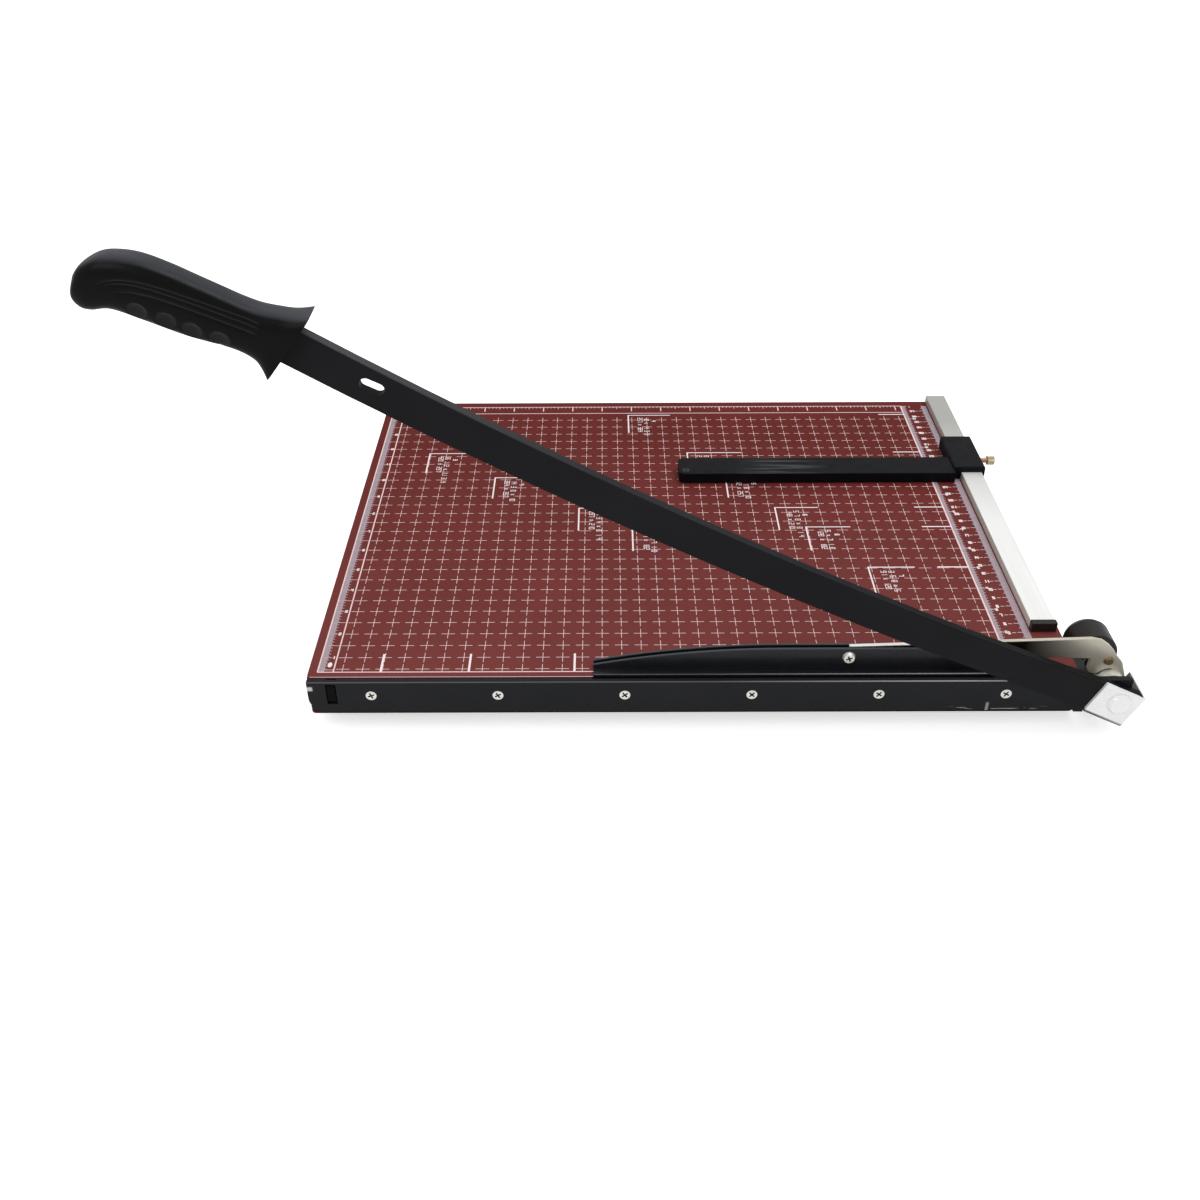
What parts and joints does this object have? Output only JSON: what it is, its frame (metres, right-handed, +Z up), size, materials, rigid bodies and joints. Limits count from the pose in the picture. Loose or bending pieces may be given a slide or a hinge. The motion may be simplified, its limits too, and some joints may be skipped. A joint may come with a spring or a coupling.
{
  "type": "guillotine paper trimmer",
  "caption": "Desk guillotine trimmer with a gridded dark red board, long black blade arm, paper clamp, ruler bar and sliding side guide.",
  "frame": {"origin": "Bottom centre of the bounding box, arm raised 26.3 degrees from closed.", "axes": "+X along the cutting edge from the handle side to the pivot, +Y from the operator to the back, +Z up."},
  "size_m": [0.609, 0.4043, 0.3201],
  "materials": {
    "board": "oiled",
    "print_sheet": "printed",
    "foot_rubber": "moulded",
    "zinc_screw": "zinc_plated",
    "blade_steel": "satin",
    "dark_screw": "blackened",
    "bracket_iron": "painted",
    "bright_steel": "polished",
    "cap_plastic": "moulded",
    "arm_steel": "satin",
    "nickel_plate": "nickel",
    "handle_plastic": "moulded",
    "clamp_black": "satin",
    "ruler_aluminium": "anodised",
    "guide_plastic": "moulded",
    "thumb_brass": "knurled"
  },
  "bodies": {
    "base": {"base_board": "board", "top_sheet": "print_sheet", "rubber_feet": "foot_rubber", "foot_screws": "zinc_screw", "fixed_blade": "blade_steel", "blade_screws": "zinc_screw", "lock_pin": "zinc_screw", "pivot_bracket": "bracket_iron", "bracket_screws": "dark_screw", "pivot_bolt": "bright_steel", "pivot_spacer": "zinc_screw", "pivot_washers": "zinc_screw", "pivot_spring": "foot_rubber", "pivot_nut": "zinc_screw", "spring_cap": "cap_plastic", "ruler_bar": "ruler_aluminium", "ruler_bar_screws": "zinc_screw", "ruler_end_cap": "cap_plastic"},
    "arm": {"blade_arm": "arm_steel", "tail_plate": "nickel_plate", "tail_rivets": "nickel_plate", "handle": "handle_plastic"},
    "clamp": {"clamp_lever": "nickel_plate", "lever_stud": "bright_steel", "clamp_bar": "clamp_black", "clamp_screws": "zinc_screw"},
    "guide": {"side_guide": "guide_plastic", "slider_block": "guide_plastic", "guide_screws": "dark_screw", "slider_pad": "guide_plastic"},
    "thumb": {"thumb_screw": "thumb_brass"},
    "lock": {"arm_lock": "dark_screw"}
  },
  "joints": [
    {"name": "arm_swing", "type": "hinge", "parent": "base", "child": "arm", "pos_m": [0.287, -0.186, 0.028], "axis": [0, 1, 0], "range_deg": [-26.3, 63.7]},
    {"name": "clamp_lift", "type": "hinge", "parent": "base", "child": "clamp", "pos_m": [0.287, -0.171, 0.028], "axis": [0, 1, 0], "range_deg": [0, 10]},
    {"name": "guide_slide", "type": "slide", "parent": "base", "child": "guide", "axis": [0, 1, 0], "range_m": [-0.19, 0.083]},
    {"name": "thumb_screw_turn", "type": "hinge", "parent": "guide", "child": "thumb", "pos_m": [0.2642, 0.09, 0.0438], "axis": [1, 0, 0], "continuous": true},
    {"name": "arm_lock_swing", "type": "hinge", "parent": "base", "child": "lock", "pos_m": [-0.2075, -0.1842, 0.025], "axis": [1, 0, 0], "range_deg": [0, 90]}
  ]
}
